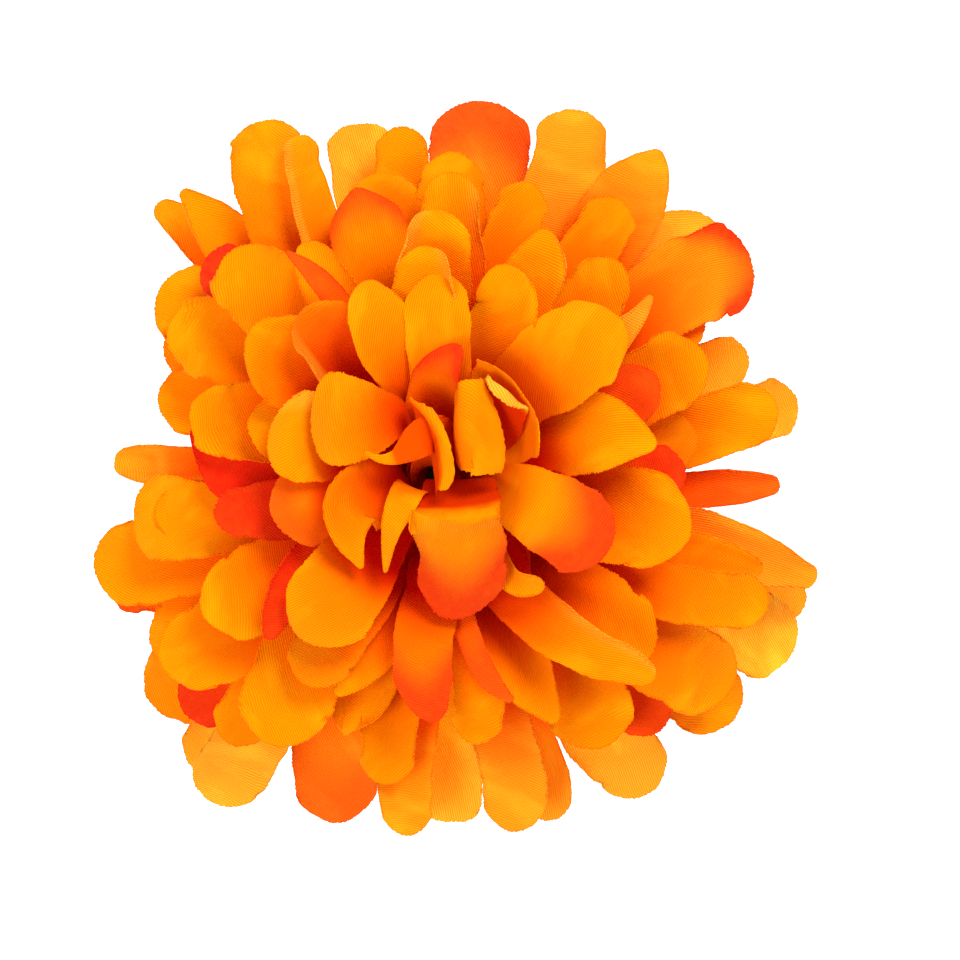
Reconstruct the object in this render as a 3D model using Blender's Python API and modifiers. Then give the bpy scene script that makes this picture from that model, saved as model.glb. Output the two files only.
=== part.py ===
"""A cloth chrysanthemum head, face up: nine die-cut rounds of heat-set petals, pushed one above
another onto the peg of a moulded calyx. Metres, +Z up, origin at the middle of the calyx's flat foot."""
import math
import random
from collections import namedtuple

import bmesh
import bpy
from mathutils import Vector

MM = 0.001

# The stack of hubs on the peg, and the thickness of the cloth.
FIRST_HUB_HEIGHT = 9.0 * MM
HUB_PITCH = 2.2 * MM
HUB_THICKNESS = 1.4 * MM
HUB_MARGIN = 0.3 * MM
FIRST_ROOT_RADIUS = 8.6 * MM
ROOT_RADIUS_STEP = 0.74 * MM
PEG_RADIUS = 1.1 * MM
PEG_HOLE_RADIUS = 1.4 * MM
HUB_SIDES = 16
CLOTH = 0.6 * MM

# The upper rounds stand a little off the axis, as on a head that leans.
LEAN = Vector((3.4 * MM, 2.4 * MM))
LEAN_FROM = 25.0 * MM
LEAN_TO = 46.0 * MM

# The outline of a petal. Shares are of its length, its width or the room that each petal has in its round.
CLAW_ROOM_SHARE = 0.82
CLAW_WIDTH_SHARE = 0.5
FULL_WIDTH_FROM = 0.55
END_FROM = 0.6
END_NARROWING = 0.7
END_ROUNDING = 0.16
SIDE_ROOM_AT_ROOT = 0.86
SIDE_ROOM_GROWS = (0.2, 0.6)
STAGGER_GROWS_TO = 0.5
CUP_MIDDLE = 0.4
SUNK_IN_HUB = 0.4 * MM

# The calyx under the bloom: a spool with a flat foot, its sepals, and the peg with its barbed end.
FOOT_RADIUS = 8.0 * MM
FOOT_HEIGHT = 1.6 * MM
WAIST_RADIUS = 6.2 * MM
WAIST_HEIGHT = 3.6 * MM
CUP_RADIUS = 8.6 * MM
CUP_HEIGHT = 7.0 * MM
HUB_GAP = 0.3 * MM
CALYX_TOP = FIRST_HUB_HEIGHT - HUB_THICKNESS / 2 - HUB_GAP
BARB_RADIUS = 1.65 * MM
BARB_HEIGHT = 1.8 * MM
BARB_NOSE_RADIUS = 0.66 * MM
BARB_NOSE_DROP = 0.18 * MM
BARB_SHOULDER = 0.54 * MM
MERGE_DISTANCE = 0.01 * MM
SEPALS = 8
SEPAL_ROOT = 6.5 * MM
SEPAL_REACH = 18.0 * MM
SEPAL_HEIGHT = 6.2 * MM
SEPAL_SLOPE = 9.0
SEPAL_WIDTH = 7.0 * MM
SEPAL_NECK = 0.7
SEPAL_BULGE = 1.2
SEPAL_POINT = 0.85
SEPAL_THICKNESS = 0.8 * MM
SEPAL_CUP = 0.12
SEPAL_ROWS = 4
TURNED_STEPS = 20

# How many squares a petal has along and across, before its cloth gets its thickness.
ROWS = 5
COLUMNS = 2

# A round: the slope of its petals at the hub and near their ends, in degrees, the length in mm over
# which the slope changes, how far in mm every other petal stands above the round's middle surface
# and the rest below it, and its petals, in order round the axis.
Round = namedtuple("Round", "root_slope end_slope length stagger petals")

# A petal: where its end lies in plan, as a direction in degrees and a distance in mm from the axis,
# its width in mm, how far its end is lifted in mm, its roll in degrees and its cup in mm, how pointed
# its end is in mm, and how many mm its left side is cut shorter, and its right side left longer.
Petal = namedtuple(
    "Petal", "azimuth reach width lift roll cup point slant", defaults=(13.5, 0.0, 0.0, 1.0, 0.0, 0.0)
)

# No two petals are set alike: each draws a little more or less lift, roll and cup, in the same units.
UNEVEN_SEED = 11
UNEVEN_LIFT = 0.5
UNEVEN_ROLL = 6.0
UNEVEN_CUP = 0.8

ROUNDS = [
    Round(20, -32, 48, 1.4, [
        Petal(10.5, 51.5, 13), Petal(22, 46, 13), Petal(40, 50, 13), Petal(65, 47), Petal(84, 53, 16),
        Petal(102.5, 53, 12.5), Petal(119, 54, 11), Petal(137, 53.5, 11), Petal(157, 42), Petal(176, 46, 7),
        Petal(198, 50, 14), Petal(215, 51, 14), Petal(230, 54, 13), Petal(252, 50.5, 15.5),
        Petal(271, 47.5, 10), Petal(290, 49.5, 10), Petal(303, 52.5, 13), Petal(321, 48, 13),
        Petal(336.5, 54.5, 13.5), Petal(346, 52, 9),
    ]),
    Round(31, -30, 49, 1.4, [
        Petal(14.6, 48.5), Petal(38, 53.5, 16), Petal(56, 55.5, 13, point=1.5, slant=3), Petal(68.5, 55),
        Petal(95, 50), Petal(105, 51, 11), Petal(119, 54, 12), Petal(132.5, 54.5, 12, point=3.5),
        Petal(150, 45), Petal(166, 40), Petal(195.5, 49, 14), Petal(208, 45), Petal(222, 49.5, 12),
        Petal(235, 53.5, 14, 0.8), Petal(265, 50, 11), Petal(283.5, 51.5, 11.5), Petal(309, 47, 12),
        Petal(319, 52.5, 14), Petal(343, 54, 13), Petal(359, 47.5, 7, point=1.5),
    ]),
    Round(41, -26, 46, 1.25, [
        Petal(9, 37), Petal(23, 42, 14), Petal(37, 47), Petal(55, 47.5), Petal(70, 42.5, 12),
        Petal(87, 46), Petal(103, 44), Petal(113.5, 50, 9.5), Petal(140, 44, 12), Petal(154, 43.5),
        Petal(172, 35), Petal(189, 44, 14), Petal(211, 46, 14), Petal(231, 47.5), Petal(250, 42),
        Petal(264, 43.5, 11), Petal(282, 38, 11), Petal(303, 44.5, 14), Petal(326, 49.5, 14, -1.1),
        Petal(341, 49),
    ]),
    Round(50, -21, 43, 1.15, [
        Petal(2, 35, 13, -0.6), Petal(24, 38), Petal(48, 39.5), Petal(70, 37.5, 13, point=2.5),
        Petal(88, 43), Petal(106, 41.5, 12.5, point=2.5, slant=-1), Petal(124, 38), Petal(138, 43, 14),
        Petal(163, 36.5, 14), Petal(187, 41), Petal(209, 41, 14), Petal(239, 45, 15), Petal(264, 37),
        Petal(293, 38, 14), Petal(318, 46, 14), Petal(338, 46, 14, 0.9),
    ]),
    Round(58, -15, 40, 1, [
        Petal(26, 33, 13, -0.6), Petal(45, 33), Petal(67, 38, 14), Petal(89, 39), Petal(124, 38, 11),
        Petal(143, 34, 12), Petal(163, 29), Petal(194, 29), Petal(219, 32.5, 12), Petal(239, 34),
        Petal(266, 34, 9, point=2), Petal(287, 33, 8, point=2), Petal(317, 40.5, 14),
        Petal(347, 37.5, 15, 0.4),
    ]),
    Round(65, -8, 36, 0.85, [
        Petal(8, 30.5, 14, point=3), Petal(40, 27, 11, 1), Petal(72, 31, 12), Petal(94, 33.5, 10),
        Petal(127, 31, 11), Petal(163, 26, 13), Petal(193, 24.5, 13), Petal(229, 30, 14), Petal(262, 16),
        Petal(290, 18), Petal(319, 26, 13, -0.7), Petal(346, 21, 9, -1.2),
    ]),
    Round(71, 0, 36, 0.7, [
        Petal(38, 33, 14), Petal(87, 28.5, 10), Petal(110, 29, 9), Petal(157, 19.5, 12), Petal(213, 17, 10),
        Petal(274, 19, 12.5, slant=1.2), Petal(316, 18.5, 7), Petal(344, 25.5, 13, 1.0),
    ]),
    Round(76, 28, 22, 0.3, [
        Petal(36, 16.5, 13), Petal(86, 18, 8, point=1.5), Petal(240, 14.5, 7, point=1.5), Petal(318, 9, 9),
    ]),
    Round(81, 50, 18, 0, [
        Petal(55, 12, 10, slant=1), Petal(106, 10.5, 9), Petal(162, 10, 8),
    ]),
]


def ramp(value, start, end):
    """Rises smoothly from 0 at start to 1 at end."""
    share = min(max((value - start) / (end - start), 0.0), 1.0)
    return share * share * (3 - 2 * share)


def lean_at(height):
    """How far the bloom has leaned from its axis at this height."""
    return LEAN * ramp(height, LEAN_FROM, LEAN_TO)


def profile(layer, index, length):
    """Radius, height and slope of a round's middle surface, this far along a petal from its root."""
    root_slope = math.radians(layer.root_slope)
    bend = (math.radians(layer.end_slope) - root_slope) / (layer.length * MM)
    slope = root_slope + bend * length
    radius = root_radius(index) + (math.sin(slope) - math.sin(root_slope)) / bend
    height = hub_height(index) - (math.cos(slope) - math.cos(root_slope)) / bend
    return radius, height, slope


def length_to(layer, index, reach):
    """The length along the middle surface at which it has come this far from the axis."""
    root_slope = math.radians(layer.root_slope)
    bend = (math.radians(layer.end_slope) - root_slope) / (layer.length * MM)
    sine = math.sin(root_slope) + bend * (reach - root_radius(index))
    return (math.asin(max(-1.0, min(1.0, sine))) - root_slope) / bend


def bent_grid(place, rows, columns):
    """A grid whose corners are put where place(along, across) says, for 0..1 along and -1..1 across."""
    shape = bmesh.new()
    bmesh.ops.create_grid(shape, x_segments=rows, y_segments=columns, size=0.5)
    for vertex in shape.verts:
        vertex.co = place(vertex.co.x + 0.5, vertex.co.y * 2)
    bmesh.ops.triangulate(shape, faces=shape.faces)
    return shape


def hub_height(index):
    return FIRST_HUB_HEIGHT + HUB_PITCH * index


def root_radius(index):
    return FIRST_ROOT_RADIUS - ROOT_RADIUS_STEP * index


def petal_mesh(layer, index, number, draw):
    """One petal of a round, as an open sheet of triangles."""
    petal = layer.petals[number]
    level = layer.stagger if number % 2 == 0 else -layer.stagger
    lift = petal.lift + draw.uniform(-UNEVEN_LIFT, UNEVEN_LIFT)
    roll = petal.roll + draw.uniform(-UNEVEN_ROLL, UNEVEN_ROLL)
    cup = petal.cup + draw.uniform(-UNEVEN_CUP, UNEVEN_CUP)
    tip_height = profile(layer, index, layer.length * MM)[1]
    turn = math.radians(petal.azimuth)
    tip = petal.reach * MM * Vector((math.cos(turn), math.sin(turn))) - lean_at(tip_height)
    azimuth = math.atan2(tip.y, tip.x)
    length = length_to(layer, index, tip.length)
    full_width = petal.width * MM
    root_room = 2 * math.pi * root_radius(index) / len(layer.petals)
    claw = min(CLAW_ROOM_SHARE * root_room, CLAW_WIDTH_SHARE * full_width)

    def place(along, across):
        end = max(0.0, (along - END_FROM) / (1 - END_FROM))
        spread = ramp(along, 0, FULL_WIDTH_FROM)
        width = claw + (full_width - claw) * spread
        width *= math.sqrt(1 - (END_NARROWING * end) ** 2)
        distance = (length + SUNK_IN_HUB) * along - SUNK_IN_HUB
        distance -= END_ROUNDING * full_width * (across * end) ** 2
        distance -= (petal.point * abs(across) + petal.slant * across) * MM * end
        radius, height, slope = profile(layer, index, distance)
        room = 2 * math.pi * radius / len(layer.petals)
        width = min(width, room * (SIDE_ROOM_AT_ROOT + ramp(along, *SIDE_ROOM_GROWS)))
        half = across * width / 2
        rise = level * MM * ramp(along, 0, STAGGER_GROWS_TO) + lift * MM * along ** 2
        rise += math.tan(math.radians(roll)) * half
        rise += cup * MM * (across ** 2 - CUP_MIDDLE) * spread
        angle = azimuth + half / radius
        radius -= rise * math.sin(slope)
        height += rise * math.cos(slope)
        lean = lean_at(height)
        return Vector((radius * math.cos(angle) + lean.x, radius * math.sin(angle) + lean.y, height))

    return bent_grid(place, ROWS, COLUMNS)


def to_object(shape, name, collection):
    """Turns a bmesh into an object in the collection."""
    mesh = bpy.data.meshes.new(name)
    shape.to_mesh(mesh)
    shape.free()
    item = bpy.data.objects.new(name, mesh)
    collection.objects.link(item)
    return item


def thicken(item, thickness):
    """Gives an open sheet its thickness, half to each side."""
    solid = item.modifiers.new("cloth thickness", "SOLIDIFY")
    solid.thickness = thickness
    solid.offset = 0.0
    return item


def hub(index, collection):
    """The stiffened middle of a round, with the hole that the peg goes through."""
    shape = bmesh.new()
    radius = root_radius(index) + HUB_MARGIN
    bmesh.ops.create_circle(shape, segments=HUB_SIDES, radius=radius)
    bmesh.ops.create_circle(shape, segments=HUB_SIDES, radius=PEG_HOLE_RADIUS)
    bmesh.ops.bridge_loops(shape, edges=shape.edges)
    made = bmesh.ops.extrude_face_region(shape, geom=shape.faces)
    top = [item for item in made["geom"] if isinstance(item, bmesh.types.BMVert)]
    bmesh.ops.translate(shape, verts=top, vec=(0, 0, HUB_THICKNESS))
    bottom = hub_height(index) - HUB_THICKNESS / 2
    bmesh.ops.translate(shape, verts=shape.verts, vec=(0, 0, bottom))
    bmesh.ops.recalc_face_normals(shape, faces=shape.faces)
    return to_object(shape, "hub", collection)


def shells(shape):
    """The separate closed shells of a bmesh, each as a list of faces."""
    left = set(shape.faces)
    found = []
    while left:
        stack = [left.pop()]
        shell = []
        while stack:
            face = stack.pop()
            shell.append(face)
            for edge in face.edges:
                for other in edge.link_faces:
                    if other in left:
                        left.remove(other)
                        stack.append(other)
        found.append(shell)
    return found


def fuse(name, first, others, material, collection):
    """Joins the pieces by one union, fills what that seals, and drops loose scraps."""
    union = first.modifiers.new("fuse", "BOOLEAN")
    union.operation = "UNION"
    union.solver = "EXACT"
    union.operand_type = "COLLECTION"
    union.collection = others
    graph = bpy.context.evaluated_depsgraph_get()
    shape = bmesh.new()
    shape.from_object(first, graph)
    bmesh.ops.triangulate(shape, faces=shape.faces)
    main = max(shells(shape), key=len)
    scraps = [face for face in shape.faces if face not in set(main)]
    bmesh.ops.delete(shape, geom=scraps, context="FACES")
    node = to_object(shape, name, collection)
    node.data.materials.append(material)
    for item in [first, *others.objects]:
        bpy.data.objects.remove(item)
    bpy.data.collections.remove(others)
    return node


def plain_material(name, colour, roughness):
    material = bpy.data.materials.new(name)
    material.use_nodes = True
    shader = material.node_tree.nodes["Principled BSDF"]
    shader.inputs["Base Color"].default_value = (*colour, 1.0)
    shader.inputs["Roughness"].default_value = roughness
    return material


def petal_round(index, layer, draw, material, collection):
    """One die-cut round: its hub and its petals, fused."""
    pieces = bpy.data.collections.new("pieces")
    bpy.context.scene.collection.children.link(pieces)
    first = hub(index, collection)
    for number in range(len(layer.petals)):
        thicken(to_object(petal_mesh(layer, index, number, draw), "petal", pieces), CLOTH)
    return fuse(f"petal_round_{index + 1}", first, pieces, material, collection)


def calyx_spool(collection):
    """The cup, its foot and the barbed peg, turned round the axis as one profile."""
    barb_foot = hub_height(len(ROUNDS) - 1) + HUB_THICKNESS / 2 + HUB_GAP
    barb_top = barb_foot + BARB_HEIGHT
    profile_points = [
        (0, barb_top), (BARB_NOSE_RADIUS, barb_top - BARB_NOSE_DROP),
        (BARB_RADIUS, barb_foot + BARB_SHOULDER), (BARB_RADIUS, barb_foot),
        (PEG_RADIUS, barb_foot), (PEG_RADIUS, CALYX_TOP), (CUP_RADIUS - HUB_GAP, CALYX_TOP),
        (CUP_RADIUS, CUP_HEIGHT), (WAIST_RADIUS, WAIST_HEIGHT), (FOOT_RADIUS, FOOT_HEIGHT),
        (FOOT_RADIUS, 0), (0, 0),
    ]
    shape = bmesh.new()
    points = [shape.verts.new((radius, 0, height)) for radius, height in profile_points]
    for start, end in zip(points, points[1:]):
        shape.edges.new((start, end))
    item = to_object(shape, "calyx spool", collection)
    turn = item.modifiers.new("turned", "SCREW")
    turn.steps = TURNED_STEPS
    turn.render_steps = TURNED_STEPS
    turn.use_merge_vertices = True
    turn.merge_threshold = MERGE_DISTANCE
    return item


def sepal_mesh(azimuth):
    """One pointed sepal, rising outwards from the cup, as an open sheet of triangles."""

    def place(along, across):
        width = SEPAL_WIDTH * (SEPAL_NECK + SEPAL_BULGE * along * (1 - along))
        width *= 1 - SEPAL_POINT * along ** 3
        distance = (SEPAL_REACH - SEPAL_ROOT) * along
        slope = math.radians(SEPAL_SLOPE)
        angle = azimuth + math.asin(across * width / 2 / (SEPAL_ROOT + distance))
        radius = SEPAL_ROOT + distance * math.cos(slope)
        height = SEPAL_HEIGHT + distance * math.sin(slope) + SEPAL_CUP * width * across ** 2
        return Vector((radius * math.cos(angle), radius * math.sin(angle), height))

    return bent_grid(place, SEPAL_ROWS, COLUMNS)


def calyx(material, collection):
    """The moulded calyx, with its sepals fused to the cup."""
    pieces = bpy.data.collections.new("pieces")
    bpy.context.scene.collection.children.link(pieces)
    spool = calyx_spool(collection)
    for number in range(SEPALS):
        sepal = to_object(sepal_mesh(2 * math.pi * number / SEPALS), "sepal", pieces)
        thicken(sepal, SEPAL_THICKNESS)
    return fuse("calyx", spool, pieces, material, collection)


def main():
    for item in list(bpy.data.objects):
        bpy.data.objects.remove(item)
    head = bpy.data.collections.new("chrysanthemum head")
    bpy.context.scene.collection.children.link(head)
    cloth = plain_material("orange cloth", (1.0, 0.24, 0.0), 0.75)
    plastic = plain_material("green plastic", (0.08, 0.22, 0.03), 0.45)
    calyx(plastic, head)
    draw = random.Random(UNEVEN_SEED)
    for index, layer in enumerate(ROUNDS):
        petal_round(index, layer, draw, cloth, head)


main()
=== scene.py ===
"""The cloth chrysanthemum head, dressed: ribbed, dyed petals with pinked edges round by round, on the
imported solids' frame, seen from straight above on a white floor. Metres, +Z up."""

import random
from collections import namedtuple
from dataclasses import dataclass
from math import asin, atan2, copysign, cos, pi, radians, sin, sqrt, tan

import bmesh
import bpy
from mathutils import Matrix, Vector, noise


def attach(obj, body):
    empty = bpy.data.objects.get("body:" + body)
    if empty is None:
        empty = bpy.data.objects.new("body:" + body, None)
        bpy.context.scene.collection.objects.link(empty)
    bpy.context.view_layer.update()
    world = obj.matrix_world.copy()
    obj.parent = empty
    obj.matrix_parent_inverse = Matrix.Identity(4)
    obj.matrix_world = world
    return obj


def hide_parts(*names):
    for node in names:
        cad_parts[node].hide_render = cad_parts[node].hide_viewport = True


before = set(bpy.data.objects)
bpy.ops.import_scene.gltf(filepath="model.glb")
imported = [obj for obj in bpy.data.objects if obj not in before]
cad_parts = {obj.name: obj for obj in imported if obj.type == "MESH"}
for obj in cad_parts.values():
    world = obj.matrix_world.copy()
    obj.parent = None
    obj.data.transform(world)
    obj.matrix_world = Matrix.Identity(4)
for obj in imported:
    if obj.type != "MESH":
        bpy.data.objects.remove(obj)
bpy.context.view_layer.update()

MM = 0.001
TINY = 1e-6
NEARLY_ALL = 1 - TINY

# The camera stands this far above the middle of the view, which is this wide there.
CAMERA_DISTANCE = 0.7
VIEW_MIDDLE = Vector((5.8 * MM, -0.28 * MM, 19 * MM))
VIEW_WIDTH = 132.6 * MM
PHOTO_SIZE = 960

# The stack of hubs on the peg, as in the solids.
FIRST_HUB_HEIGHT = 9.0 * MM
HUB_PITCH = 2.2 * MM
HUB_THICKNESS = 1.4 * MM
HUB_MARGIN = 0.3 * MM
HUB_SIDES = 48
FIRST_ROOT_RADIUS = 8.6 * MM
ROOT_RADIUS_STEP = 0.74 * MM
PEG_HOLE_RADIUS = 1.4 * MM
SUNK_IN_HUB = 0.4 * MM

# How far the upper rounds lean to one side, and the heights over which the lean grows.
LEAN = Vector((3.4 * MM, 2.4 * MM))
LEAN_GROWS = (25.0 * MM, 46.0 * MM)

# The narrow root of a petal, as a share of its room at the hub and of its full width.
CLAW_ROOM_SHARE = 0.82
CLAW_WIDTH_SHARE = 0.5

# The small differences between petals, drawn as for the solids, in mm and degrees.
UNEVEN_SEED = 11
UNEVEN_LIFT = 0.5
UNEVEN_ROLL = 6.0
MEAN_CUP = 1.0
UNEVEN_CUP = 0.8
CUP_MIDDLE = 0.4

# The cloth: its thickness, the teeth along its cut edges and how finely a petal is divided. A pair of
# shares, here and below, is where a change along or across a petal begins and where it ends.
CLOTH = 0.16 * MM
TOOTH_DEPTH = 0.34 * MM
TOOTH_STEP = 0.17 * MM
TEETH_FROM = 0.4
ROWS = 30
COLUMNS = 12
HALF_GRID = 0.5
END_CLOSER = 1.25
SHARP_FROM = radians(50)
UV_PER_METRE = 10.0

# Free waves, creases, dents and uneven ends of the cloth, drawn for each petal.
WAVE_SEED = 5
WAVE = 0.6 * MM
WAVE_SHARE = (0.4, 1.0)
WAVE_COUNT = (1.2, 2.4)
WAVE_CALMS = (0.75, 1)
WAVE_CALMED = 0.7
CREASE = 0.35 * MM
CREASE_COUNT = (1.0, 1.8)
DENT = 0.8 * MM
DENT_SIZE = 6.5 * MM
DENT_PLACES = 50
COARSE_DENTS = 0.7
FINE_DENTS = 2
FINE_DENT_SHARE = 0.4
CURL = 1.8 * MM
TWIST = 13.0
SPOON = (0.6 * MM, 2.4 * MM)
SLANT = 0.9 * MM
BOW = 0.9 * MM
POINT = (0.0, 2.2 * MM)
LOOSENS = (0.35, 0.75)

# A petal that lies in its round's middle surface: where it is full, how its end narrows and rounds off,
# the room that it has beside its neighbours, and where its stagger, curl, twist and hollow end set in.
FULL_WIDTH_FROM = 0.55
END_FROM = 0.76
END_NARROWING = (0.84, 0.94)
END_ROUNDING = 0.07
CORNER_ROUNDING = 0.01
CORNER_POWER = 8
SIDE_ROOM_AT_ROOT = 0.86
SIDE_ROOM_GROWS = (0.2, 0.6)
STAGGER_GROWS_TO = 0.5
CURL_GROWS = (0.65, 1)
TWIST_GROWS = (0.3, 0.9)
SPOON_GROWS = (0.5, 0.95)

# A path that is read off the photograph: the rise of its root, the steps in which its heights are found,
# and the extra spot that closes a blunt end (widths in pixels) in a curve.
ROOT_RISE = 1.5 * MM
FIRST_GUESS_HEIGHT = 20 * MM
HEIGHT_STEPS = 4
BLUNT_FROM = 22
BLUNT_END_OF_FORMER = 0.3
BLUNT_END_OF_LAST = 0.65
SHOULDER_PLACE = 0.55
SHOULDER_NARROWING = 0.15

# The cloth about such a path: how its end rounds off, slants and bows, and how its edges turn and wave.
END_BENDS = (0.6, 1)
END_DEPTH = 0.78
SLANT_POWER = 1.5
SLANT_GROWS = (0.5, 1)
BOW_GROWS = (0.3, 0.5)
STEP_BESIDE = 0.3 * MM
EDGES_TURN = (0.3, 0.8)
TURNED_FROM = 0.45
BARELY_TURNED = 0.01
EDGE_WAVE = 0.1
EDGE_WAVES = 1.6
EDGE_WAVE_LAYER = 7
NARROW_CUP_POWER = 1.5
PATH_LOOSENESS = 0.6

# The dye and the painted light: how the dye's edge drifts and fades, the painted highlight on the rims,
# the random tone, the painted light of pale cloth, the painted shade of shaded insides and of the lower
# rounds near the axis, and the painted highlight on turned edges.
DYE_DRIFT = 0.12
DYE_FULL_AT = 0.6
DYE_FULL_LATER = 0.5
TONE = 0.07
PALE_TONE = 0.2
RIM_HIGHLIGHT = 0.1
RIM_POWER = 3
RIM_HIGHLIGHT_GROWS = (0.3, 0.7)
DARK_TONE = 0.48
DARK_TO_LIGHT = 0.52
DARK_FADES = 0.03
SHADE_GROWS = (0.09, 0.13)
SHADED_ROUNDS = 6
SHADED_BY = 0.45
SHADE_CLEARS = (9 * MM, 20 * MM)
FULLY_TURNED = 60
TURNED_ACROSS = (0.4, 0.75)
TURNED_ALONG = (0.4, 0.65)
TURNED_HIGHLIGHT = 0.5

# A round of cloth: the slope of its petals at the hub and near their ends, in degrees, the length in mm
# over which the slope changes, the height in mm by which every second petal stands over or under the
# middle surface, the direction of the ribs in degrees, and its petals in order.
Round = namedtuple("Round", "root_slope end_slope length stagger grain petals")

# A point of a petal's path, in metres and radians: the place of its middle, the width, the direction in
# plan and the tilt of its left side, and how far its edges stand above its middle.
Point = namedtuple("Point", "x y z width side tilt cup")


@dataclass
class Petal:
    """One petal, in degrees, mm and shares of its length. Its sides are named as seen from its root."""

    azimuth: float
    width: float = 13.5
    # How far it reaches from the axis, where it has neither path nor stations.
    reach: float = 0
    # How far its end stands off the round's middle surface.
    lift: float = 0
    # How red its end is dyed, from where on, how pale its cloth is, and how much more painted light than
    # others it gets (below zero, painted shade).
    red: float = 0
    red_from: float = 0.6
    pale: float = 0
    tone: float = 0
    # How far its left and right edges are turned up.
    left: float = 0
    right: float = 0
    # How much shorter its left side is, how far its edges lie back, and how round its end is.
    slant: float = 0
    bow: float = 0
    rounding: float = 1.0
    # How far the painted shade of its inside reaches before it bends over, and how much painted shade
    # darkens it again beyond.
    dark: float = 0
    shade: float = 0
    # The spots of its path, each with x, y and width in pixels of the photograph, or else its stations.
    path: list = None
    stations: list = None


# The stations of petals that are shaped one by one, named by azimuth: x and y in pixels of the
# photograph, height and width in mm, direction in plan and tilt of the left side in degrees, cup in mm.
BLADE_38 = [
    (490, 430, 30, 7, 125, 0, 0.5), (522, 390, 37, 11, 125, 0, -0.5), (565, 357, 40, 12.8, 122, 0, -1),
    (600, 339, 39.5, 11.4, 118, 0, -1), (628, 331, 38.5, 6.6, 115, 0, -1),
]
BLADE_87 = [
    (441, 425, 32, 7, 178, 0, 1), (441, 375, 39, 8.5, 180, -5, 1), (437, 330, 41, 9, 180, -8, -0.6),
    (435, 296, 40, 8.6, 186, -8, -1), (437, 270, 39, 5.5, 192, -6, -0.8),
]
BLADE_110 = [
    (424, 420, 31, 5, 205, 10, 1), (410, 385, 37, 7.6, 212, 15, 1), (391, 345, 40.5, 9.6, 212, 20, 0.6),
    (374, 306, 40.5, 8, 204, 22, 0), (366, 279, 39.5, 3.8, 198, 20, 0),
]
BLADE_157 = [
    (412, 443, 31, 4, 258, 20, 1), (402, 420, 38, 5, 262, 20, 0.5), (375, 418, 41.5, 9.6, 266, 5, -0.8),
    (342, 420, 42, 12.4, 270, 0, -1.2), (312, 421, 39.8, 11.6, 275, 0, -1),
]
BLADE_213 = [
    (408, 484, 31, 5, 300, 0, 0.5), (385, 490, 37.5, 9, 303, -15, 1.2),
    (355, 503, 40.5, 9.4, 316, -22, 1.6), (349, 533, 40.5, 5.6, 342, -22, 1.2),
    (362, 569, 39.5, 0.4, 350, -10, 0.2),
]
BLADE_274 = [
    (456, 480, 33, 8, 2, 0, 0.5), (459, 491, 38, 10.5, 6, 0, 0.3), (459, 504, 42.6, 11.4, 9, 0, 0.3),
    (456, 513, 44.8, 11.8, 9, 0, 0.3), (456, 524, 44.7, 12, 7, 0, 0), (459, 531, 42.8, 12, 4, 0, -0.6),
    (461, 570, 38.6, 11.8, -6, 0, -1.4), (458, 598, 36, 11, -12, 0, -1.3),
    (450, 624, 33.6, 8.8, -16, 0, -1),
]
BLADE_316 = [
    (478, 520, 30, 5, 50, 0, 0.5), (495, 560, 34, 4.5, 62, 15, 0.8), (517, 583, 36.5, 3.8, 80, 25, 1),
    (545, 584, 38, 2.4, 100, 25, 0.5),
]
BLADE_344 = [
    (484, 482, 31, 5, 70, 0, 0.5), (514, 492, 38, 8.6, 58, 0, 0), (551, 514, 40.5, 11.4, 52, 0, -1),
    (585, 538, 40, 11.6, 48, 0, -1.4), (606, 556, 38.5, 8.6, 46, 0, -1.4),
]
BLADE_72 = [
    (476, 420, 28, 7, 165, 0, 1), (490, 362, 34, 9, 162, -10, 1.5), (506, 312, 38, 9.4, 164, -20, 1.5),
    (503, 284, 38.5, 8, 172, -20, 1), (499, 264, 38, 5, 178, -15, 0.5),
]
BLADE_94 = [
    (437, 420, 27, 7, 180, 0, 1), (431, 360, 33, 9, 180, 0, 2), (427, 300, 38, 9.5, 178, -10, 2.5),
    (424, 262, 40, 8, 178, -10, 2.2), (423, 245, 39.8, 4.5, 180, -5, 1),
]
BLADE_127 = [
    (403, 425, 27, 7, 222, 0, 1), (368, 388, 32, 9.5, 222, 0, 2), (333, 346, 37.5, 10.5, 220, 5, 2.6),
    (310, 320, 40, 9, 218, 5, 2.2), (300, 311, 40.4, 5, 216, 5, 1),
]
BLADE_163 = [
    (400, 458, 27, 7, 258, 0, 0.5), (365, 448, 32, 10, 262, 5, 0.5), (320, 438, 37, 12, 268, 8, -0.5),
    (290, 434, 38, 12, 272, 14, -1), (270, 430, 36.8, 9.2, 276, 20, -1),
]
BLADE_193 = [
    (400, 482, 26, 7, 285, 0, 0.5), (362, 490, 31, 10, 283, 0, 0), (316, 500, 35.5, 12, 282, 0, -0.6),
    (285, 507, 36, 11, 280, 0, -0.8), (270, 510, 35.4, 7.5, 280, 0, -0.5),
]
BLADE_229 = [
    (408, 505, 27, 5, 318, 0, 0.5), (374, 546, 33, 9.5, 317, 0, 0), (341, 590, 37.5, 13, 316, -4, -1),
    (315, 622, 37, 12.2, 316, -4, -1.4), (301, 639, 35.8, 8, 316, -4, -1.2),
]
BLADE_89 = [
    (438, 410, 25, 8, 180, 0, 1), (436, 340, 31, 11, 181, 0, 1.5), (430, 275, 36, 11.5, 184, 6, 1.6),
    (436, 230, 37.5, 9, 178, 10, 1.4), (438, 208, 37, 4.5, 176, 5, 0.6),
]
BLADE_124 = [
    (400, 420, 25, 6, 218, 0, 0.5), (362, 348, 30, 5.4, 222, 10, 0.6), (334, 298, 35, 4.0, 225, 25, 0.6),
    (308, 269, 37, 2.7, 225, 25, 0.4), (286, 251, 36.8, 0.4, 225, 20, 0),
]
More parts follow.
